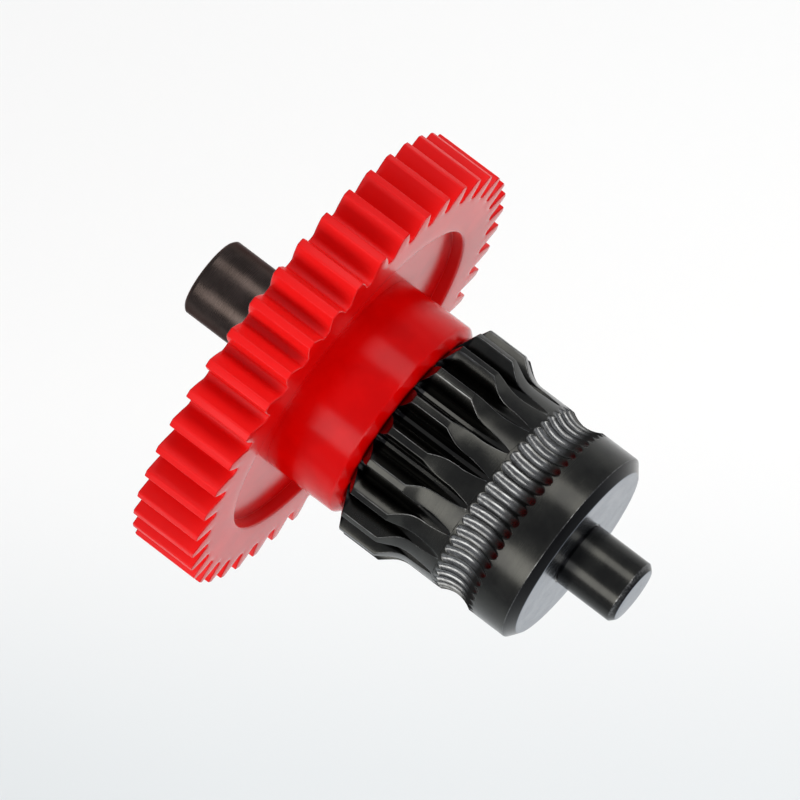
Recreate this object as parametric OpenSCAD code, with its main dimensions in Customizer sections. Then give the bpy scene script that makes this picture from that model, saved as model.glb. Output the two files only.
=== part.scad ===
// Extruder gear assembly: a moulded reduction gear on a knurled steel bush,
// a hardened drive gear with a serrated filament track, and a stepped rear axle
// pin that joins them. The spin axis lies along Y, the drive gear points to -Y,
// and the origin is on the axis at mid-width of the reduction gear.

/* [Toothing] */
// Module of both gears
tooth_module = 0.65; // [0.63:0.01:0.66]
// Teeth on the moulded reduction gear
reduction_teeth = 42; // [40:1:44]
// Teeth on the steel drive gear
drive_teeth = 20; // [20:1:21]
// Pressure angle of both gears, in degrees
pressure_angle = 20; // [18:0.5:22]
// Angle of one reduction tooth about the axis, in degrees
reduction_phase = 3; // [0:0.1:8.5]
// Angle of one drive tooth about the axis, in degrees
drive_phase = 6.6; // [0:0.1:17.9]

/* [Reduction gear] */
// Width of the toothed rim
rim_w = 4.3; // [4:0.1:6]
// Diameter of the hub
hub_d = 13; // [12.8:0.1:13.5]
// Length of the hub in front of the rim
hub_len = 4.2; // [3:0.1:6]
// Chamfer on the front edge of the hub
hub_chamfer = 0.5; // [0.2:0.1:0.6]
// Outer diameter of the recess in each face
recess_d = 20.8; // [18:0.1:22]
// Depth of the recess in each face
recess_depth = 0.75; // [0.5:0.05:1.6]
// Radius in the bottom corners of the recess
recess_fillet = 0.2; // [0.1:0.05:0.4]

/* [Hub bush] */
// Diameter over the knurl of the bush
bush_d = 8.6; // [8:0.1:9]
// Depth of the knurl
knurl_depth = 0.3; // [0.1:0.05:0.4]
// Ribs around the knurl
knurl_ribs = 24; // [12:1:30]
// Length of the plain band between the two knurled bands
knurl_gap = 1.6; // [1:0.1:2.5]

/* [Rear axle pin] */
// Diameter of the journal, which is the part of the pin behind the rim
pin_d = 5; // [4.9:0.1:5.5]
// Length of the journal
pin_out = 5.9; // [4:0.1:12]
// Diameter of the grip, the thinner part pressed into the bush and the drive gear
grip_d = 4.5; // [4:0.1:4.6]
// Depth of the grip in the drive gear
pin_grip = 7.2; // [4:0.1:8]
// Chamfer on both ends of the pin
pin_chamfer = 0.2; // [0.1:0.05:0.4]

/* [Drive gear] */
// Length of the chamfer on the rear ends of the teeth
end_chamfer_len = 0.7; // [0.4:0.1:0.8]
// Height of that chamfer above the rear face
end_chamfer_h = 1.35; // [1:0.05:1.4]
// Length of the teeth at their full diameter
tooth_len = 2.5; // [2:0.1:3]
// Length of the chamfer and curve that run from the tooth tips down to the collar
relief_len = 1.8; // [1.6:0.1:2]
// Angle of the chamfer at the tooth tips, in degrees
relief_angle = 38; // [30:1:40]
// Length of the full-depth part of the tooth gaps
gap_len = 2.3; // [2:0.1:2.4]
// Length over which the floor of each gap rises to the collar
run_out_len = 3.7; // [3.5:0.1:3.8]
// Diameter of the collar
collar_d = 12.5; // [12.3:0.1:12.7]
// Length from the rear face to the front face of the collar
drive_len = 12.2; // [12:0.1:14]
// Chamfer on the front edge of the collar
collar_chamfer = 0.65; // [0.2:0.05:0.8]
// Length along the axis of that chamfer
collar_chamfer_len = 0.5; // [0.3:0.05:0.9]

/* [Filament track] */
// Serrations around the filament track
serrations = 52; // [48:1:52]
// Distance from the front face of the collar to the middle of the track
track_setback = 4; // [3.6:0.1:4]
// Depth of the track below the collar
track_depth = 0.3; // [0.2:0.05:0.35]
// Width of the track at the surface of the collar
track_w = 2.3; // [1.8:0.1:2.3]
// Depth of the serrations below the track
serration_depth = 0.25; // [0.15:0.05:0.25]
// Width of each serration
serration_w = 0.4; // [0.2:0.05:0.45]
// Radius of the cutter that made the serrations
serration_cutter_r = 2.16; // [1.8:0.02:2.2]

/* [Front journal] */
// Diameter of the front journal
journal_d = 4; // [3:0.1:4.5]
// Length from the collar to the end of the journal
journal_len = 4; // [3:0.1:10]
// Chamfer on the end of the journal
journal_chamfer = 0.3; // [0.1:0.05:0.6]
// Width of the relief groove in the collar's face, round the root of the journal
groove_w = 0.12; // [0.1:0.01:0.3]
// Depth of the relief groove
groove_depth = 0.12; // [0.05:0.01:0.3]

/* [Hidden] */
$fn = 96;

// How far a cutting shape runs past the surface that it cuts
over = 0.15;
// Points on each flank of a tooth
flank_steps = 3;

// Distances along the axis, from the middle of the rim towards the drive gear
rim_front = rim_w / 2;
rim_back = -rim_w / 2;
hub_front = rim_front + hub_len;
pin_back = rim_back - pin_out;
pin_front = hub_front + pin_grip;
teeth_back = hub_front + end_chamfer_len;
relief_back = teeth_back + tooth_len;
relief_front = relief_back + relief_len;
collar_front = hub_front + drive_len;
track_middle = collar_front - track_setback;
journal_front = collar_front + journal_len;

// Radii of the drive gear
drive_root_r = root_radius(drive_teeth);
drive_tip_r = tip_radius(drive_teeth);
collar_r = collar_d / 2;
serration_floor_r = collar_r - track_depth - serration_depth;

// Radius of the circular arc across the filament track
track_r = (pow(track_w / 2, 2) + pow(track_depth, 2)) / (2 * track_depth);

// Radius of the relief curve, which meets both its chamfer and the collar smoothly
relief_r = (relief_len * tan(relief_angle) - (drive_tip_r - collar_r))
    / (sin(relief_angle) * tan(relief_angle) - 1 + cos(relief_angle));

// Involute gear geometry
function base_radius(z) = z * tooth_module / 2 * cos(pressure_angle);
function tip_radius(z) = (z / 2 + 1) * tooth_module;
function root_radius(z) = (z / 2 - 1.25) * tooth_module;
function involute(angle) = tan(angle) * 180 / PI - angle;
// Half the angle that a tooth fills at radius r; below the base circle the flank is radial
function half_tooth(z, r) = 90 / z + involute(pressure_angle)
    - involute(acos(min(1, base_radius(z) / r)));
function polar(r, angle) = [r * cos(angle), r * sin(angle)];
// Radii of the points on a flank, from the root to the given radius
function flank_radii(z, r_end) = [
    for (i = [0 : flank_steps]) root_radius(z) + (r_end - root_radius(z)) * i / flank_steps];

// Outline of a whole gear
module gear_outline(z) {
    radii = flank_radii(z, tip_radius(z));
    polygon([
        for (tooth = [0 : z - 1])
            let (middle = tooth * 360 / z)
                each concat(
                    [for (i = [0 : flank_steps]) polar(radii[i], middle - half_tooth(z, radii[i]))],
                    [for (i = [flank_steps : -1 : 0]) polar(radii[i], middle + half_tooth(z, radii[i]))])
    ]);
}

// Outline of one gap of the drive gear, with X as the height above its floor
module gap_outline() {
    radii = flank_radii(drive_teeth, drive_tip_r + over);
    gap = 180 / drive_teeth;
    side = [for (r = radii) polar(r, gap - half_tooth(drive_teeth, r)) - [drive_root_r, 0]];
    polygon(concat(side, [for (i = [flank_steps : -1 : 0]) [side[i].x, -side[i].y]]));
}

// Turns a shape that stands on the Z axis onto the spin axis of the assembly
module along_spin_axis() {
    rotate([90, 0, 0]) children();
}

// Solid of revolution from points given as [radius, distance along the axis]
module turned(points) {
    rotate_extrude() polygon(points);
}

// One annular recess that opens towards +Z at height 0
module face_recess() {
    inner = hub_d / 2;
    outer = recess_d / 2;
    floor_z = -recess_depth;
    rotate_extrude() {
        difference() {
            translate([inner, floor_z]) square([outer - inner, recess_depth + over]);
            for (corner = [[inner, 1], [outer, -1]])
                translate([corner.x, floor_z])
                    difference() {
                        translate([min(0, corner.y * recess_fillet), 0]) square(recess_fillet);
                        translate([corner.y * recess_fillet, recess_fillet]) circle(r = recess_fillet);
                    }
        }
    }
}

// Outline of the knurled bush: straight ribs around a plain core
module knurl_outline() {
    rib = bush_d / 2;
    core = rib - knurl_depth;
    step = 360 / knurl_ribs;
    polygon([
        for (i = [0 : knurl_ribs - 1])
            each [polar(core, (i - 0.5) * step), polar(rib, (i - 0.15) * step), polar(rib, (i + 0.15) * step)]
    ]);
}

// The bush without its bore: two knurled bands with a plain waist between them
module bush_body() {
    length = hub_front - rim_back;
    band = (length - knurl_gap) / 2;
    waist_r = bush_d / 2 - 2 * knurl_depth;
    for (start = [rim_back, hub_front - band])
        translate([0, 0, start]) linear_extrude(band) knurl_outline();
    translate([0, 0, rim_back]) cylinder(r = waist_r, h = length);
}

module reduction_gear() {
    color("red")
        along_spin_axis()
            difference() {
                union() {
                    translate([0, 0, rim_back])
                        linear_extrude(rim_w)
                            rotate(reduction_phase) gear_outline(reduction_teeth);
                    turned([
                        [0, 0], [hub_d / 2, 0], [hub_d / 2, hub_front - hub_chamfer],
                        [hub_d / 2 - hub_chamfer, hub_front], [0, hub_front]
                    ]);
                }
                translate([0, 0, rim_front]) face_recess();
                translate([0, 0, rim_back]) mirror([0, 0, 1]) face_recess();
                bush_body();
            }
}

module hub_bush() {
    color("dimgray")
        along_spin_axis()
            difference() {
                bush_body();
                translate([0, 0, rim_back - over])
                    cylinder(d = grip_d, h = hub_front - rim_back + 2 * over);
            }
}

module rear_axle_pin() {
    color("#302828")
        along_spin_axis()
            turned([
                [0, pin_back], [pin_d / 2 - pin_chamfer, pin_back], [pin_d / 2, pin_back + pin_chamfer],
                [pin_d / 2, rim_back], [grip_d / 2, rim_back],
                [grip_d / 2, pin_front - pin_chamfer], [grip_d / 2 - pin_chamfer, pin_front], [0, pin_front]
            ]);
}

// The turned blank of the drive gear, before its teeth and serrations are cut
module drive_blank() {
    journal_r = journal_d / 2;
    groove_r = journal_r + groove_w;
    groove_z = collar_front - groove_depth;
    curve_r = collar_r + relief_r * (1 - cos(relief_angle));
    curve_back = relief_front - relief_r * sin(relief_angle);
    rotate_extrude()
        difference() {
            polygon([
                [0, hub_front], [drive_tip_r - end_chamfer_h, hub_front],
                [drive_tip_r, teeth_back], [drive_tip_r, relief_back], [curve_r, curve_back],
                [curve_r, relief_front], [collar_r, relief_front], [collar_r, collar_front - collar_chamfer_len],
                [collar_r - collar_chamfer, collar_front], [groove_r, collar_front],
                [groove_r, groove_z], [journal_r, groove_z],
                [journal_r, journal_front - journal_chamfer], [journal_r - journal_chamfer, journal_front],
                [0, journal_front]
            ]);
            translate([collar_r + relief_r, relief_front]) circle(r = relief_r);
        }
}

// One tooth gap: straight through the teeth, then with its floor rising to the collar
module tooth_gap() {
    rise = collar_r - drive_root_r + over;
    translate([drive_root_r, 0, hub_front - over])
        linear_extrude(end_chamfer_len + gap_len + over) gap_outline();
    translate([drive_root_r, 0, teeth_back + gap_len])
        rotate([0, atan(rise / run_out_len), 0])
            translate([0, 0, -over]) linear_extrude(run_out_len + 2 * over) gap_outline();
}

// The ring of material that the filament track takes out of the collar
module track_groove() {
    rotate_extrude()
        translate([collar_r - track_depth + track_r, track_middle]) circle(r = track_r);
}

// One serration: a slot cut across the track by a thin disc
module serration() {
    translate([serration_floor_r + serration_cutter_r, 0, track_middle])
        rotate([90, 0, 0])
            cylinder(r = serration_cutter_r, h = serration_w, center = true);
}

module drive_gear() {
    color("#222326")
        along_spin_axis()
            difference() {
                drive_blank();
                for (i = [0 : drive_teeth - 1])
                    rotate(drive_phase + (i + 0.5) * 360 / drive_teeth) tooth_gap();
                track_groove();
                for (i = [0 : serrations - 1]) rotate(i * 360 / serrations) serration();
                translate([0, 0, hub_front - over]) cylinder(d = grip_d, h = pin_grip + over);
            }
}

reduction_gear();
hub_bush();
rear_axle_pin();
drive_gear();
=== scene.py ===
import math

import bmesh
import bpy
import numpy as np
from mathutils import Matrix, Vector

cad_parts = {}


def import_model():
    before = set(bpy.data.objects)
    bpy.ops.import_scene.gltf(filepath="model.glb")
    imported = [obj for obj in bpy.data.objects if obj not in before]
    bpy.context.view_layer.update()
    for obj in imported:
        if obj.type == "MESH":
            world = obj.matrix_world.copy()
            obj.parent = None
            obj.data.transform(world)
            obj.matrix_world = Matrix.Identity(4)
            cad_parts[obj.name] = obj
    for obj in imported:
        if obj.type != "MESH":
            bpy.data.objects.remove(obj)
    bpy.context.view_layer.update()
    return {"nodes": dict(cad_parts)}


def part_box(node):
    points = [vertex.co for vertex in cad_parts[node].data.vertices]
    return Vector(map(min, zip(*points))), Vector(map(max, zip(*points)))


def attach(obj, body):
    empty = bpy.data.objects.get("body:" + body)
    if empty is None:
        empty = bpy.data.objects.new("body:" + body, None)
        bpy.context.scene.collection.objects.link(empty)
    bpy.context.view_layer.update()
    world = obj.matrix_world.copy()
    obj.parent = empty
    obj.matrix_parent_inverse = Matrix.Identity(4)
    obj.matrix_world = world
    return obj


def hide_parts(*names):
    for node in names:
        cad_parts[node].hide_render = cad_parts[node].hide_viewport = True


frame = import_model()

# Lengths below are in millimetres. Local coordinates are (x, y, z) with z along the
# spin axis towards the drive gear, from the middle of the toothed rim.
MM = 0.001

# Toothing, shared by both gears
MODULE = 0.65
PRESSURE = math.radians(20)
REDUCTION_TEETH = 42
DRIVE_TEETH = 20
REDUCTION_PHASE = math.radians(3)
DRIVE_PHASE = math.radians(6.6)

# Reduction gear and its bush
REDUCTION_TIP_ROUND = 0.08
REDUCTION_ROOT_ROUND = 0.24
RIM_EDGE_ROUND = 0.07
RIM_BELOW_ROOT = 0.5
MOULDED_EDGE = 0.16
HUB_R = 6.5
HUB_CHAMFER = 0.5
HUB_EDGE = 0.12
RECESS_R = 10.4
RECESS_DEPTH = 0.75
BUSH_R = 4.3
KNURL_DEPTH = 0.3
KNURL_RIBS = 24

# Drive gear, its journals and the rear pin
END_CHAMFER_LEN = 0.7
END_CHAMFER_H = 1.35
TOOTH_LEN = 2.5
GAP_LEN = 2.3
RELIEF_LEN = 1.8
RELIEF_ANGLE = math.radians(38)
GAP_CUTTER_R = 12
GAP_FLOOR_W = 0.2
GAP_FILLET = 0.35
TIP_ROUND = 0.045
FLANK_POINTS = 17
RUN_OUT_POINTS = 24
COLLAR_R = 6.25
DRIVE_LEN = 12.2
COLLAR_CHAMFER = 0.65
COLLAR_CHAMFER_LEN = 0.5
TURNED_EDGE = 0.06
PIN_R = 2.5
GRIP_R = 2.25
PIN_GRIP = 7.2
PIN_CHAMFER = 0.2
JOURNAL_R = 2.0
JOURNAL_CHAMFER = 0.3
FINE_EDGE = 0.05
# Groove round the journal's root: along the journal, into the journal and into the collar's face
GROOVE_LEN = 0.12
GROOVE_IN_JOURNAL = 0.08
GROOVE_IN_FACE = 0.05
GROOVE_EDGE = 0.02

# Filament track
SERRATIONS = 52
SERRATION_POINTS = 20
TRACK_SETBACK = 4
FLUTE_DEPTH = 0.55
FLUTE_CUTTER_R = 2.16
FLUTE_EDGE_R = 0.39
TRACK_SHINE_REACH = 1.6


def ends_along_axis(node):
    """The lowest and highest distance of a CAD node along the spin axis, in millimetres."""
    low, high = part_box(node)
    return -high[1] / MM, -low[1] / MM


RIM_BACK, HUB_FRONT = ends_along_axis("reduction_gear")
RIM_FRONT = -RIM_BACK
PIN_BACK, PIN_FRONT = ends_along_axis("rear_axle_pin")
JOURNAL_FRONT = ends_along_axis("drive_gear")[1]
TEETH_BACK = HUB_FRONT + END_CHAMFER_LEN
RELIEF_BACK = TEETH_BACK + TOOTH_LEN
RELIEF_FRONT = RELIEF_BACK + RELIEF_LEN
COLLAR_FRONT = HUB_FRONT + DRIVE_LEN
TRACK_MIDDLE = COLLAR_FRONT - TRACK_SETBACK


# ---------------------------------------------------------------- gear geometry
def base_radius(teeth):
    return teeth * MODULE / 2 * math.cos(PRESSURE)


def tip_radius(teeth):
    return (teeth / 2 + 1) * MODULE


def root_radius(teeth):
    return (teeth / 2 - 1.25) * MODULE


def involute(angle):
    return math.tan(angle) - angle


def half_tooth(teeth, r):
    """Half the angle that a tooth fills at radius r."""
    at_r = math.acos(min(1.0, base_radius(teeth) / r))
    return math.pi / 2 / teeth + involute(PRESSURE) - involute(at_r)


def polar(r, angle):
    return np.array([r * math.cos(angle), r * math.sin(angle)])


def bend(a, corner, b, steps):
    """Points of a smooth curve from a to b that is pulled towards the corner."""
    t = np.linspace(0, 1, steps)[:, None]
    return (1 - t) ** 2 * a + 2 * t * (1 - t) * corner + t ** 2 * b


def half_gap_outline(teeth, tip_r, floor_r, tip_round, root_round, flank_points):
    """Half of a tooth space: from the middle of its floor out to the middle of the next tooth."""
    pitch = math.pi / teeth
    start = floor_r + root_round
    end = tip_r - tip_round
    flank = [polar(r, pitch - half_tooth(teeth, r)) for r in np.linspace(start, end, flank_points)]
    foot = pitch - half_tooth(teeth, floor_r)
    foot_in = max(0.0, foot - root_round / floor_r)
    tip = pitch - half_tooth(teeth, tip_r)
    fillet = bend(polar(floor_r, foot_in), polar(floor_r, foot), flank[0], 6)
    corner = bend(flank[-1], polar(tip_r, tip), polar(tip_r, tip + tip_round / tip_r), 6)
    floor = [polar(floor_r, a) for a in np.linspace(0, foot_in, 3)[:-1]]
    land = [polar(tip_r, a) for a in np.linspace(tip + tip_round / tip_r, pitch, 3)[1:]]
    return np.vstack([floor, fillet, flank[1:-1], corner, land])


def turn(points, angle):
    c, s = math.cos(angle), math.sin(angle)
    return points @ np.array([[c, s], [-s, c]])


def whole_outline(half, teeth, phase):
    """A closed outline of all the teeth from half a tooth space, starting at a gap's middle."""
    back = (half * [1, -1])[::-1]
    one = np.vstack([back[1:], half[1:]])
    step = 2 * math.pi / teeth
    return np.vstack([turn(one, phase + (i + 0.5) * step) for i in range(teeth)])


def inward(outline, distance):
    """The outline moved towards its inside by a distance."""
    ahead = np.roll(outline, -1, axis=0) - np.roll(outline, 1, axis=0)
    ahead /= np.linalg.norm(ahead, axis=1)[:, None]
    return outline + distance * np.stack([-ahead[:, 1], ahead[:, 0]], axis=1)


# ---------------------------------------------------------------- mesh building
def circle(r, angles):
    """Points at the angles. The radius is one number, or one for each angle."""
    return np.stack([r * np.cos(angles), r * np.sin(angles)], axis=1)


def world(points_xy, z):
    """Local points to the frame's metres: the spin axis z becomes -Y and local y becomes Z."""
    z = np.broadcast_to(z, len(points_xy))
    return np.stack([points_xy[:, 0], -z, points_xy[:, 1]], axis=1) * MM


def rounded(profile, steps=5):
    """A turned profile with its corners rounded. Points are (radius, z, corner radius)."""
    out = []
    for i, (r, z, fillet) in enumerate(profile):
        here = np.array([r, z], float)
        if fillet == 0 or i in (0, len(profile) - 1):
            out.append(here)
            continue
        before = np.array(profile[i - 1][:2], float) - here
        after = np.array(profile[i + 1][:2], float) - here
        cut = min(fillet, 0.45 * np.linalg.norm(before), 0.45 * np.linalg.norm(after))
        a = here + before / np.linalg.norm(before) * cut
        b = here + after / np.linalg.norm(after) * cut
        out.extend(bend(a, here, b, steps))
    return out


class Skin:
    """Rings of points about the spin axis, joined one to the next into a mesh.

    Each point has a value from 0 to 1, which the materials read: 1 where the metal is bare, and where an edge
    gets a painted highlight.
    """

    def __init__(self):
        self.verts = []
        self.bare_and_highlight = []
        self.faces = []
        self.count = 0
        self.last = None

    def add(self, points, bare_and_highlight=0.0):
        index = np.arange(len(points)) + self.count
        self.verts.append(points)
        self.bare_and_highlight.append(np.broadcast_to(bare_and_highlight, len(points)))
        self.count += len(points)
        return index

    def ring(self, points_xy, z, bare_and_highlight=0.0):
        """Adds a ring and joins it to the one before, which may have a whole multiple of its points."""
        index = self.add(world(points_xy, z), bare_and_highlight)
        if self.last is not None:
            self.join(self.last, index)
        self.last = index

    def join(self, a, b):
        if len(a) < len(b):
            flipped = [face[::-1] for face in self.bridge(b, a)]
            self.faces.extend(flipped)
        else:
            self.faces.extend(self.bridge(a, b))

    @staticmethod
    def bridge(many, few):
        ratio = len(many) // len(few)
        faces = []
        for j in range(len(few)):
            run = [many[(j * ratio + k) % len(many)] for k in range(ratio + 1)]
            faces.append([*map(int, run), int(few[(j + 1) % len(few)]), int(few[j])])
        return faces

    def cap(self, z, first=False):
        """Closes the skin at the axis with a fan."""
        centre = int(self.add(world(np.zeros((1, 2)), z))[0])
        loop = self.last
        for j in range(len(loop)):
            pair = [int(loop[j]), int(loop[(j + 1) % len(loop)])]
            self.faces.append([*pair, centre] if not first else [centre, *pair[::-1]])

    def piece(self, name, smooth_angle=32):
        mesh = bpy.data.meshes.new(name)
        mesh.from_pydata(np.vstack(self.verts).tolist(), [], self.faces)
        mesh.update()
        mesh.attributes.new("bare_and_highlight", "FLOAT", "POINT").data.foreach_set("value", np.concatenate(self.bare_and_highlight))
        mesh.shade_smooth()
        mesh.set_sharp_from_angle(angle=math.radians(smooth_angle))
        obj = bpy.data.objects.new(name, mesh)
        bpy.context.collection.objects.link(obj)
        weighted = obj.modifiers.new("even_shading", "WEIGHTED_NORMAL")
        weighted.keep_sharp = True
        weighted.weight = 80
        return obj


def outward(obj):
    """Turns the faces so that they look outwards."""
    bm = bmesh.new()
    bm.from_mesh(obj.data)
    bmesh.ops.recalc_face_normals(bm, faces=bm.faces)
    bm.to_mesh(obj.data)
    bm.free()


# ---------------------------------------------------------------- reduction gear
def knurl_radius(angles):
    """Radius of the bush's knurl at each angle, with a flat-topped rib in each step."""
    step = 2 * math.pi / KNURL_RIBS
    off = np.abs((angles / step + 0.5) % 1 - 0.5)
    rise = np.clip((0.5 - off) / 0.35, 0, 1)
    return BUSH_R - KNURL_DEPTH * (1 - rise)


def rounded_rim(outline, z_face, outwards, steps=5):
    """The tooth outline's rings at one face, drawn in a little where the edge is rounded."""
    rings = []
    for turned in np.linspace(0, math.pi / 2, steps):
        drawn_in = RIM_EDGE_ROUND * (1 - math.sin(turned))
        below = RIM_EDGE_ROUND * (1 - math.cos(turned))
        rings.append((inward(outline, drawn_in), z_face - outwards * below))
    return rings


def make_reduction_gear():
    root = root_radius(REDUCTION_TEETH)
    half = half_gap_outline(REDUCTION_TEETH, tip_radius(REDUCTION_TEETH), root,
                            REDUCTION_TIP_ROUND, REDUCTION_ROOT_ROUND, flank_points=6)
    outline = whole_outline(half, REDUCTION_TEETH, REDUCTION_PHASE)
    angles = np.unwrap(np.arctan2(outline[:, 1], outline[:, 0]))
    inner = angles[::2]

    def face_rings(z_face, outwards, profile):
        """Rings from the bore out to the teeth on one face."""
        rings = [(circle(r, inner), z) for r, z in rounded(profile)]
        rings.append((circle(root - RIM_BELOW_ROOT, angles), z_face))
        return rings + rounded_rim(outline, z_face, outwards)

    bore_edge_r = BUSH_R + 0.4
    front = face_rings(RIM_FRONT, 1, [
        (bore_edge_r, HUB_FRONT, 0),
        (HUB_R - HUB_CHAMFER, HUB_FRONT, HUB_EDGE),
        (HUB_R, HUB_FRONT - HUB_CHAMFER, HUB_EDGE),
        (HUB_R, RIM_FRONT - RECESS_DEPTH, 0),
        (RECESS_R, RIM_FRONT - RECESS_DEPTH, 0),
        (RECESS_R, RIM_FRONT, MOULDED_EDGE),
        (RECESS_R + 1, RIM_FRONT, 0)])
    back = face_rings(RIM_BACK, -1, [
        (bore_edge_r, RIM_BACK, 0),
        (HUB_R, RIM_BACK, MOULDED_EDGE),
        (HUB_R, RIM_BACK + RECESS_DEPTH, 0),
        (RECESS_R, RIM_BACK + RECESS_DEPTH, 0),
        (RECESS_R, RIM_BACK, MOULDED_EDGE),
        (RECESS_R + 1, RIM_BACK, 0)])

    skin = Skin()
    bore = circle(knurl_radius(inner), inner)
    skin.ring(bore, HUB_FRONT)
    first = skin.last
    for points, z in front:
        skin.ring(points, z)
    for points, z in reversed(back):
        skin.ring(points, z)
    skin.ring(bore, RIM_BACK)
    skin.join(skin.last, first)
    return skin.piece("reduction_gear_body")


# ---------------------------------------------------------------- drive gear
def blank_radius(z):
    """Radius of the turned blank along the rear chamfer, the teeth, the relief and the collar."""
    tip = tip_radius(DRIVE_TEETH)
    drop = tip - COLLAR_R
    slope = math.tan(RELIEF_ANGLE)
    curve = (RELIEF_LEN * slope - drop) / (math.sin(RELIEF_ANGLE) * slope - 1 + math.cos(RELIEF_ANGLE))
    if z <= TEETH_BACK:
        return tip - END_CHAMFER_H * (TEETH_BACK - z) / END_CHAMFER_LEN
    if z <= RELIEF_BACK:
        return tip
    if z >= RELIEF_FRONT:
        return COLLAR_R
    if z <= RELIEF_FRONT - curve * math.sin(RELIEF_ANGLE):
        return tip - slope * (z - RELIEF_BACK)
    return COLLAR_R + curve - math.sqrt(curve ** 2 - (RELIEF_FRONT - z) ** 2)


def floor_rise(z):
    """How far the gap's floor has risen at z, along the arc of the cutter."""
    run = max(0.0, z - TEETH_BACK - GAP_LEN)
    return GAP_CUTTER_R - math.sqrt(GAP_CUTTER_R ** 2 - run ** 2)


def drive_half_outline(z, flank_points):
    """Half a tooth space of the drive gear at z, and the painted highlight on its tip corner. The gap narrows
    as the cutter runs out.
    """
    pitch = math.pi / DRIVE_TEETH
    root = root_radius(DRIVE_TEETH)
    rise = floor_rise(z)
    envelope = blank_radius(z)
    depth = max(0.0, envelope - root - rise)
    points = [polar(root + rise, 0)]
    for h in depth * np.linspace(0, 1, flank_points) ** 1.3:
        r = root + h
        width = r * math.sin(pitch - half_tooth(DRIVE_TEETH, r))
        floor_half = GAP_FLOOR_W / 2
        width = floor_half + (width - floor_half) * min(1.0, h / GAP_FILLET) ** 0.75
        points.append(polar(r + rise, math.asin(width / (r + rise))))
    brink = points[-1]
    brink_angle = math.atan2(brink[1], brink[0])
    land_start = brink_angle + TIP_ROUND / envelope
    below = points[-2] - brink
    below *= min(0.5, TIP_ROUND / max(1e-9, np.linalg.norm(below)))
    corner = bend(brink + below, brink, polar(envelope, land_start), 4)
    land = [polar(envelope, a) for a in np.linspace(land_start, pitch, 6)[1:]]
    outline = np.vstack([points[:-1], corner, land])
    bare_and_highlight = np.zeros(len(outline))
    # painted highlight: the tip corner's points are marked so the bare colour draws a bright line along them
    bare_and_highlight[len(points):len(points) + 2] = 1
    return outline, bare_and_highlight


def flute_radius(angles, z):
    """Radius of the serrated track at z, and how bare it is.

    The cutter's marks are bare metal, but for their crests and their front ends; the front ends get painted
    shade in the dark oxide colour.
    """
    step = 2 * math.pi / SERRATIONS
    off = (angles / step + 0.5) % 1 - 0.5
    floor_r = COLLAR_R - FLUTE_DEPTH
    side = np.abs(off) * step * (COLLAR_R - 0.3)
    sag = FLUTE_EDGE_R - np.sqrt(np.maximum(FLUTE_EDGE_R ** 2 - side ** 2, 1e-6))
    reach = FLUTE_CUTTER_R - sag
    inside = reach ** 2 - (z - TRACK_MIDDLE) ** 2
    marked = floor_r + FLUTE_CUTTER_R - np.sqrt(np.maximum(inside, 0))
    marked = np.minimum(COLLAR_R, np.where(inside > 0, marked, COLLAR_R))
    bare_and_painted_light = np.clip((COLLAR_R - marked) / 0.06, 0, 1) * np.clip((0.49 - np.abs(off)) / 0.07, 0, 1)
    # painted shade: the bare metal fades out towards the track's front end
    bare_and_painted_light = bare_and_painted_light * (1 - np.clip((z - TRACK_MIDDLE - 0.25) / 0.55, 0, 1))
    return marked, bare_and_painted_light


def edge_highlight(z, edge_z, reach):
    """A full painted highlight for a ring within reach of an edge, and none elsewhere."""
    return float(abs(z - edge_z) < reach)


def add_drive_bore(skin, angles):
    """The blind bore for the pin, from its bottom out to the gear's back face."""
    bottom = HUB_FRONT + PIN_GRIP
    outer = root_radius(DRIVE_TEETH) - 0.25
    profile = [(GRIP_R - 0.4, bottom), (GRIP_R, bottom), (GRIP_R, HUB_FRONT), (GRIP_R + 0.5, HUB_FRONT),
               (outer, HUB_FRONT)]
    for i, (r, z) in enumerate(profile):
        skin.ring(circle(r, angles), z)
        if i == 0:
            skin.cap(z, first=True)


def add_drive_teeth(skin):
    """The teeth with their end chamfer and relief, as far as the gaps run out in the collar."""
    gap_end = TEETH_BACK + GAP_LEN + math.sqrt(2 * GAP_CUTTER_R * (COLLAR_R - root_radius(DRIVE_TEETH)))
    crease = 0.02
    levels = np.concatenate([
        np.linspace(HUB_FRONT, TEETH_BACK - crease, 8),
        np.linspace(TEETH_BACK + crease, RELIEF_BACK - crease, 8),
        np.linspace(RELIEF_BACK + crease, RELIEF_FRONT, RUN_OUT_POINTS),
        np.linspace(RELIEF_FRONT, gap_end, RUN_OUT_POINTS)[1:]])
    for z in levels:
        half, bare_and_highlight = drive_half_outline(z, FLANK_POINTS)
        corner_highlight = np.tile(np.concatenate([bare_and_highlight[:0:-1], bare_and_highlight[1:]]), DRIVE_TEETH)
        skin.ring(whole_outline(half, DRIVE_TEETH, DRIVE_PHASE), z, corner_highlight)


def add_track_and_collar(skin, angles):
    """The serrated filament track, and the plain collar with its chamfer.

    Known flaw: the teeth's last ring has 1000 points and the track's first one 1040, so the surplus points
    aren't joined, and a slit 0.02 mm wide and 1.5 mm long stays open between the two rings.
    """
    track_half = math.sqrt(FLUTE_CUTTER_R ** 2 - (FLUTE_CUTTER_R - FLUTE_DEPTH) ** 2) + 0.04
    for z in np.linspace(TRACK_MIDDLE - track_half, TRACK_MIDDLE + track_half, 72):
        r, bare_and_painted_light = flute_radius(angles, z)
        skin.ring(circle(r, angles), z, bare_and_painted_light)

    chamfer_z = COLLAR_FRONT - COLLAR_CHAMFER_LEN
    collar = rounded([
        (COLLAR_R, TRACK_MIDDLE + track_half + 0.1, 0),
        (COLLAR_R, chamfer_z, TURNED_EDGE),
        (COLLAR_R - COLLAR_CHAMFER, COLLAR_FRONT, TURNED_EDGE),
        (COLLAR_R - 1, COLLAR_FRONT, 0)])
    for r, z in collar:
        skin.ring(circle(r, angles), z, edge_highlight(z, chamfer_z, 0.03))


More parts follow.
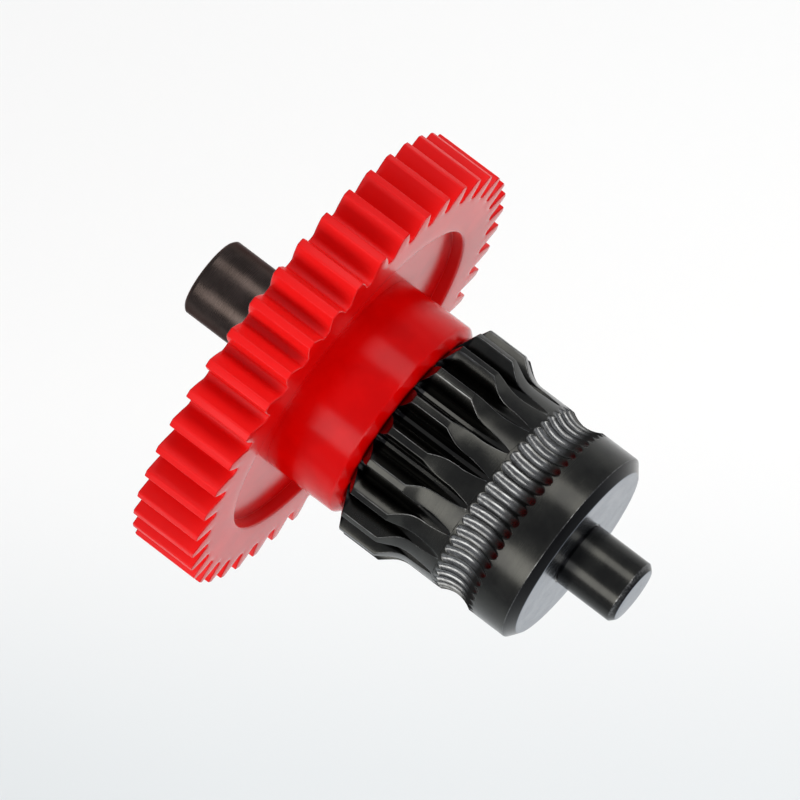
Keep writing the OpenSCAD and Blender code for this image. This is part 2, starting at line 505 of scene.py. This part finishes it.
def add_journal(skin, angles):
    """The front journal, from the groove at its root to its end face."""
    groove_r = JOURNAL_R + GROOVE_IN_FACE
    groove_z = COLLAR_FRONT - GROOVE_IN_FACE
    groove_end = COLLAR_FRONT + GROOVE_LEN
    neck = JOURNAL_R - GROOVE_IN_JOURNAL
    chamfer_z = JOURNAL_FRONT - JOURNAL_CHAMFER
    stem = rounded([
        (groove_r + 0.2, COLLAR_FRONT, 0),
        (groove_r, COLLAR_FRONT, 0.015),
        (groove_r, groove_z, GROOVE_EDGE),
        (neck, groove_z, GROOVE_EDGE),
        (neck, groove_end, GROOVE_EDGE),
        (JOURNAL_R, groove_end + 0.02, GROOVE_EDGE),
        (JOURNAL_R, chamfer_z, FINE_EDGE),
        (JOURNAL_R - JOURNAL_CHAMFER, JOURNAL_FRONT, FINE_EDGE),
        (0.6, JOURNAL_FRONT, 0)])
    for r, z in stem:
        skin.ring(circle(r, angles), z, edge_highlight(z, chamfer_z, 0.04))
    skin.cap(JOURNAL_FRONT)


def make_drive_gear():
    start = whole_outline(drive_half_outline(HUB_FRONT, FLANK_POINTS)[0], DRIVE_TEETH, DRIVE_PHASE)
    angles = np.unwrap(np.arctan2(start[:, 1], start[:, 0]))
    track_points = SERRATIONS * SERRATION_POINTS
    uniform = DRIVE_PHASE + np.arange(track_points) * 2 * math.pi / track_points
    skin = Skin()
    add_drive_bore(skin, angles[::4])
    skin.ring(circle(root_radius(DRIVE_TEETH) - 0.1, angles), HUB_FRONT)
    add_drive_teeth(skin)
    add_track_and_collar(skin, uniform)
    add_journal(skin, uniform[::5])
    return skin.piece("drive_gear_body")


# ---------------------------------------------------------------- rear axle pin
def make_rear_pin(sides=192):
    angles = np.arange(sides) * 2 * math.pi / sides
    skin = Skin()
    profile = rounded([
        (0.5, PIN_BACK, 0),
        (PIN_R - PIN_CHAMFER, PIN_BACK, 0.07),
        (PIN_R, PIN_BACK + PIN_CHAMFER, 0.07),
        (PIN_R, RIM_BACK, 0.02),
        (GRIP_R, RIM_BACK, 0.02),
        (GRIP_R, PIN_FRONT - PIN_CHAMFER, FINE_EDGE),
        (GRIP_R - PIN_CHAMFER, PIN_FRONT, FINE_EDGE),
        (0.5, PIN_FRONT, 0)])
    for i, (r, z) in enumerate(profile):
        skin.ring(circle(r, angles), z)
        if i == 0:
            skin.cap(z, first=True)
    skin.cap(PIN_FRONT)
    return skin.piece("rear_axle_pin_body")


# ---------------------------------------------------------------- materials
class Shader:
    """A small helper that adds nodes to one material and links them."""

    def __init__(self, name):
        self.material = bpy.data.materials.new(name)
        self.material.use_nodes = True
        self.tree = self.material.node_tree
        self.surface = self.tree.nodes["Principled BSDF"]

    def node(self, kind, inputs=None, **settings):
        made = self.tree.nodes.new(kind)
        for key, value in settings.items():
            setattr(made, key, value)
        for key, value in (inputs or {}).items():
            if isinstance(value, bpy.types.NodeSocket):
                self.tree.links.new(value, made.inputs[key])
            else:
                made.inputs[key].default_value = value
        return made

    def math(self, operation, a, b=0.0):
        return self.node("ShaderNodeMath", {0: a, 1: b}, operation=operation).outputs[0]

    def both(self, a, b):
        return self.math("MULTIPLY", a, b)

    def either(self, a, b):
        return self.math("MAXIMUM", a, b)

    def ramp(self, value, low, high, to_low=0.0, to_high=1.0):
        inputs = {"Value": value, "From Min": low, "From Max": high, "To Min": to_low, "To Max": to_high}
        return self.node("ShaderNodeMapRange", inputs, interpolation_type="SMOOTHSTEP").outputs[0]

    def past(self, value, edge, soft):
        """A mask that is 1 past an edge and 0 before it, with a soft step between."""
        return self.ramp(value, edge - soft, edge + soft)

    def before(self, value, edge, soft):
        """A mask that is 1 before an edge and 0 past it."""
        return self.ramp(value, edge + soft, edge - soft)

    def noise(self, vector, scale, detail=4.0, roughness=0.55):
        inputs = {"Vector": vector, "Scale": scale, "Detail": detail, "Roughness": roughness}
        return self.node("ShaderNodeTexNoise", inputs).outputs["Fac"]

    def mix(self, factor, a, b):
        made = self.node("ShaderNodeMix", data_type="RGBA")
        for socket, value in ((made.inputs[0], factor), (made.inputs[6], a), (made.inputs[7], b)):
            if isinstance(value, bpy.types.NodeSocket):
                self.tree.links.new(value, socket)
            else:
                socket.default_value = value
        return made.outputs[2]

    def place(self):
        """Position in millimetres: the vector, the radius from the spin axis, and the distance along it."""
        at = self.node("ShaderNodeTexCoord").outputs["Object"]
        scaled = self.node("ShaderNodeVectorMath", {0: at, 1: (1 / MM,) * 3}, operation="MULTIPLY").outputs[0]
        part = self.node("ShaderNodeSeparateXYZ", {0: scaled})
        x, y, z = part.outputs
        square = self.math("ADD", self.math("MULTIPLY", x, x), self.math("MULTIPLY", z, z))
        return scaled, self.math("SQRT", square), self.math("MULTIPLY", y, -1.0)

    def attribute(self, name):
        return self.node("ShaderNodeAttribute", attribute_name=name).outputs["Fac"]

    def turned_lines(self, radius, along, scale):
        """Fine lines that run round the spin axis, as turning leaves them."""
        vector = self.node("ShaderNodeCombineXYZ", {0: radius, 1: along}).outputs[0]
        return self.noise(vector, scale, detail=3.0, roughness=0.7)

    def bump(self, height, strength, distance, below=None):
        inputs = {"Height": height, "Strength": strength, "Distance": distance}
        if below is not None:
            inputs["Normal"] = below
        return self.node("ShaderNodeBump", inputs).outputs[0]

    def set(self, **values):
        for key, value in values.items():
            socket = self.surface.inputs[key.replace("_", " ")]
            if isinstance(value, bpy.types.NodeSocket):
                self.tree.links.new(value, socket)
            else:
                socket.default_value = value
        return self.material


def red_plastic():
    """Moulded plastic: a glossy hub and faces, and duller tooth flanks and recess walls that are painted a
    brighter red to stand in for light.
    """
    s = Shader("red_gear_plastic")
    at, radius, along = s.place()
    cloud = s.noise(at, 0.35, detail=3.0)
    grain = s.noise(at, 14.0, detail=5.0)
    flow = s.turned_lines(radius, along, 2.2)
    inside_faces = s.before(s.math("ABSOLUTE", along), RIM_FRONT - 0.05, 0.03)
    flanks = s.both(s.past(radius, RECESS_R - 0.09, 0.05), inside_faces)
    on_hub = s.before(radius, HUB_R + 0.25, 0.15)

    faces = s.mix(s.ramp(cloud, 0.35, 0.65), (0.50, 0.0004, 0.0004, 1), (0.58, 0.0008, 0.0007, 1))
    # painted light: the tooth flanks and recess walls get a brighter red than the faces, which stands in for
    # light where they lie in shade
    colour = s.mix(flanks, faces, (0.76, 0.010, 0.010, 1))
    rough = s.math("ADD", s.ramp(grain, 0.3, 0.7, 0.14, 0.20), s.math("MULTIPLY", flanks, 0.18))
    shine = s.math("SUBTRACT", s.ramp(flanks, 0.0, 1.0, 0.22, 0.14), s.math("MULTIPLY", on_hub, 0.09))
    fine = s.bump(grain, 0.09, 0.02 * MM)
    swirl = s.bump(flow, 0.04, 0.02 * MM, fine)
    return s.set(Base_Color=colour, Roughness=rough, Normal=swirl, IOR=1.48,
                 Specular_IOR_Level=shine, Specular_Tint=(1.0, 0.96, 1.06, 1),
                 Subsurface_Weight=s.ramp(flanks, 0.0, 1.0, 0.06, 0.30),
                 Subsurface_Radius=(0.0020, 0.0003, 0.0003), Subsurface_Scale=1.0)


def end_faces(s, radius, along):
    """The drive gear's end faces, which get a painted reflection in a paler bluish colour: the collar's
    shoulder and the journal's end.
    """
    soft = 0.01
    on_collar = s.past(radius, JOURNAL_R + GROOVE_IN_FACE, soft)
    shoulder = s.both(on_collar, s.past(along, COLLAR_FRONT - 2 * soft, soft))
    journal_end = s.past(along, JOURNAL_FRONT - 2 * soft, soft)
    return s.either(shoulder, journal_end)


def painted_shade_places(s, radius, along):
    """Where the drive gear gets painted shade and is nearly black: chamfers, tooth ends and the groove at the
    journal's root.
    """
    soft = 0.01
    groove_r = JOURNAL_R + GROOVE_IN_FACE
    on_collar = s.past(radius, groove_r, soft)
    collar_chamfer = s.both(on_collar, s.past(along, COLLAR_FRONT - COLLAR_CHAMFER_LEN, 0.02))
    journal_chamfer = s.past(along, JOURNAL_FRONT - JOURNAL_CHAMFER, 0.02)
    tooth_ends = s.before(along, TEETH_BACK - 0.05, 0.05)
    groove_length = s.both(s.past(along, COLLAR_FRONT - 0.09, soft),
                           s.before(along, COLLAR_FRONT + GROOVE_LEN + soft, soft))
    groove = s.both(groove_length, s.before(radius, groove_r, soft))
    return s.either(s.either(collar_chamfer, journal_chamfer), s.either(tooth_ends, groove))


def black_steel():
    """Oxidised steel with turning lines, a bare filament track, painted highlights on its edges, painted
    shade on its chamfers, tooth ends and groove, and a painted reflection on its end faces.
    """
    s = Shader("hardened_steel")
    at, radius, along = s.place()
    lines = s.turned_lines(radius, along, 26.0)
    cloud = s.noise(at, 0.6)
    grain = s.noise(at, 22.0)
    stretched = s.node("ShaderNodeVectorMath", {0: at, 1: (9.0, 1.2, 9.0)}, operation="MULTIPLY").outputs[0]
    streaks = s.noise(stretched, 1.0)
    off_track = s.math("ABSOLUTE", s.math("SUBTRACT", along, TRACK_MIDDLE))
    in_track = s.math("LESS_THAN", off_track, TRACK_SHINE_REACH)
    bare_and_highlight_strength = s.either(in_track, s.ramp(streaks, 0.3, 0.6, 0.15, 0.5))
    # bare metal in the track, and painted highlights on the marked edges, varied by random streaks
    bare_and_highlight = s.both(s.attribute("bare_and_highlight"), bare_and_highlight_strength)

    oxide_and_shade = s.mix(s.ramp(cloud, 0.3, 0.7), (0.030, 0.030, 0.029, 1), (0.044, 0.044, 0.041, 1))
    # painted shade: the chamfers, the tooth ends and the groove at the journal's root are painted nearly
    # black over the oxide
    oxide_and_shade = s.mix(painted_shade_places(s, radius, along), oxide_and_shade, (0.010, 0.010, 0.011, 1))
    # the bare colour: cut metal in the track, and the painted highlight on the marked edges
    bare_and_painted_light = s.mix(s.ramp(streaks, 0.3, 0.7), (0.11, 0.11, 0.112, 1), (0.24, 0.245, 0.25, 1))
    colour = s.mix(bare_and_highlight, oxide_and_shade, bare_and_painted_light)
    # painted reflection: the end faces get a paler bluish colour in place of the light they mirror
    colour = s.mix(end_faces(s, radius, along), colour, (0.20, 0.215, 0.25, 1))
    rough = s.math("ADD", s.ramp(cloud, 0.3, 0.7, 0.17, 0.23), s.ramp(lines, 0.3, 0.7, 0.0, 0.06))
    rough = s.math("ADD", rough, s.math("MULTIPLY", in_track, 0.03))
    fine = s.bump(grain, 0.05, 0.01 * MM)
    turned = s.bump(lines, 0.12, 0.012 * MM, fine)
    return s.set(Base_Color=colour, Metallic=1.0, Roughness=rough, Normal=turned)


def pin_steel():
    """Browner steel than the drive gear's, with turning lines."""
    s = Shader("pin_steel")
    at, radius, along = s.place()
    lines = s.turned_lines(radius, along, 18.0)
    cloud = s.noise(at, 0.8, detail=4.0)
    colour = s.mix(s.ramp(cloud, 0.3, 0.7), (0.050, 0.038, 0.034, 1), (0.072, 0.055, 0.050, 1))
    rough = s.math("ADD", s.ramp(cloud, 0.3, 0.7, 0.20, 0.26), s.ramp(lines, 0.3, 0.7, 0.0, 0.1))
    return s.set(Base_Color=colour, Metallic=1.0, Roughness=rough, Normal=s.bump(lines, 0.25, 0.02 * MM),
                 Specular_Tint=(0.50, 0.45, 0.45, 1))


def bush_steel():
    """Plain bright steel."""
    s = Shader("bush_steel")
    at, radius, along = s.place()
    lines = s.turned_lines(radius, along, 20.0)
    grain = s.noise(at, 12.0)
    colour = s.mix(s.ramp(grain, 0.3, 0.7), (0.34, 0.33, 0.32, 1), (0.48, 0.47, 0.46, 1))
    rough = s.ramp(lines, 0.3, 0.7, 0.28, 0.42)
    return s.set(Base_Color=colour, Metallic=1.0, Roughness=rough, Normal=s.bump(lines, 0.2, 0.02 * MM))


def floor_paper():
    """Matt paper with painted shade that makes it greyer towards the bottom of the picture."""
    s = Shader("floor_paper")
    at = s.place()[0]
    grain = s.noise(at, 0.8, detail=6.0)
    up_picture = {0: at, 1: (0.8, 0.6, 0)}
    height = s.node("ShaderNodeVectorMath", up_picture, operation="DOT_PRODUCT").outputs["Value"]
    # painted shade: the paper is darker and bluer towards the bottom of the picture
    painted_shade_tone = s.mix(s.ramp(height, -26.0, 6.0), (0.73, 0.765, 0.79, 1), (0.91, 0.92, 0.93, 1))
    colour = s.mix(s.ramp(grain, 0.2, 0.8, 0.0, 0.03), painted_shade_tone, (0.8, 0.8, 0.8, 1))
    return s.set(Base_Color=colour, Roughness=0.9)


# ---------------------------------------------------------------- pieces
def dress(obj, material, node):
    """Gives a piece its material and puts it in the place of a CAD node."""
    obj.data.materials.clear()
    obj.data.materials.append(material)
    outward(obj)
    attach(obj, "root")
    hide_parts(node)


dress(make_reduction_gear(), red_plastic(), "reduction_gear")
dress(make_drive_gear(), black_steel(), "drive_gear")
dress(make_rear_pin(), pin_steel(), "rear_axle_pin")
for holder in frame["nodes"]["hub_bush"].material_slots:
    holder.material = bush_steel()


# ---------------------------------------------------------------- camera, light and floor
# The camera looks down on the part, with the spin axis running down to the right
VIEW_TILT = math.radians(10.94)
VIEW_ROLL = math.radians(37.1)
VIEW_DISTANCE = 0.48
VIEW_LENS = 381.2
AIM = Vector((0.85, -5.12, 0)) * MM

# In metres: two long strip lights that run along the spin axis, above the part and to either side
STRIP_REACH = 0.32
STRIP_MIDDLE = -0.36
STRIP_LENGTH = 0.92
WARM_WHITE = (1.0, 0.98, 0.93)
FLOOR_Z = -0.06
FLOOR_HALF = 1.5


def make_camera():
    data = bpy.data.cameras.new("camera")
    data.lens = VIEW_LENS
    data.sensor_width = 36
    data.clip_start = 0.01
    obj = bpy.data.objects.new("camera", data)
    bpy.context.collection.objects.link(obj)
    back = Vector((0, -math.sin(VIEW_TILT), math.cos(VIEW_TILT)))
    right = Vector((math.sin(VIEW_ROLL), -math.cos(VIEW_TILT) * math.cos(VIEW_ROLL),
                    -math.sin(VIEW_TILT) * math.cos(VIEW_ROLL)))
    up = back.cross(right)
    axes = Matrix((right, up, back)).transposed().to_4x4()
    obj.matrix_world = Matrix.Translation(AIM + back * VIEW_DISTANCE) @ axes
    bpy.context.scene.camera = obj


def make_strip(name, swing, width, radiance):
    """A strip light that is swung about the spin axis from straight above, facing the axis."""
    data = bpy.data.lights.new(name, "AREA")
    data.shape = "RECTANGLE"
    data.size = width
    data.size_y = STRIP_LENGTH
    data.energy = radiance * math.pi * width * STRIP_LENGTH
    data.color = WARM_WHITE
    obj = bpy.data.objects.new(name, data)
    bpy.context.collection.objects.link(obj)
    back = Vector((math.sin(swing), 0, math.cos(swing)))
    across = Vector((0, 1, 0)).cross(back)
    axes = Matrix((across, back.cross(across), back)).transposed().to_4x4()
    place = Vector((0, STRIP_MIDDLE, 0)) + back * STRIP_REACH
    obj.matrix_world = Matrix.Translation(place) @ axes
    obj.visible_camera = False


def make_world():
    """A grey studio that is paler towards its horizon."""
    world_data = bpy.data.worlds.new("studio")
    world_data.use_nodes = True
    tree = world_data.node_tree
    at = tree.nodes.new("ShaderNodeTexCoord").outputs["Generated"]
    part = tree.nodes.new("ShaderNodeSeparateXYZ")
    tree.links.new(at, part.inputs[0])
    ramp = tree.nodes.new("ShaderNodeValToRGB")
    ramp.color_ramp.elements[0].position = 0.0
    ramp.color_ramp.elements[0].color = (0.56, 0.57, 0.60, 1)
    ramp.color_ramp.elements[1].position = 0.2
    ramp.color_ramp.elements[1].color = (0.41, 0.42, 0.44, 1)
    tree.links.new(part.outputs[2], ramp.inputs[0])
    back = tree.nodes["Background"]
    tree.links.new(ramp.outputs[0], back.inputs[0])
    back.inputs[1].default_value = 1.0
    bpy.context.scene.world = world_data


def make_floor():
    mesh = bpy.data.meshes.new("floor")
    corners = [(x * FLOOR_HALF, y * FLOOR_HALF, FLOOR_Z) for x, y in ((-1, -1), (1, -1), (1, 1), (-1, 1))]
    mesh.from_pydata(corners, [], [range(4)])
    obj = bpy.data.objects.new("floor", mesh)
    bpy.context.collection.objects.link(obj)
    obj.data.materials.append(floor_paper())


bpy.context.scene.view_settings.view_transform = "Standard"
make_camera()
make_strip("strip_left", math.radians(41), width=0.13, radiance=3.3)
make_strip("strip_right", math.radians(-49), width=0.15, radiance=4.0)
make_world()
make_floor()
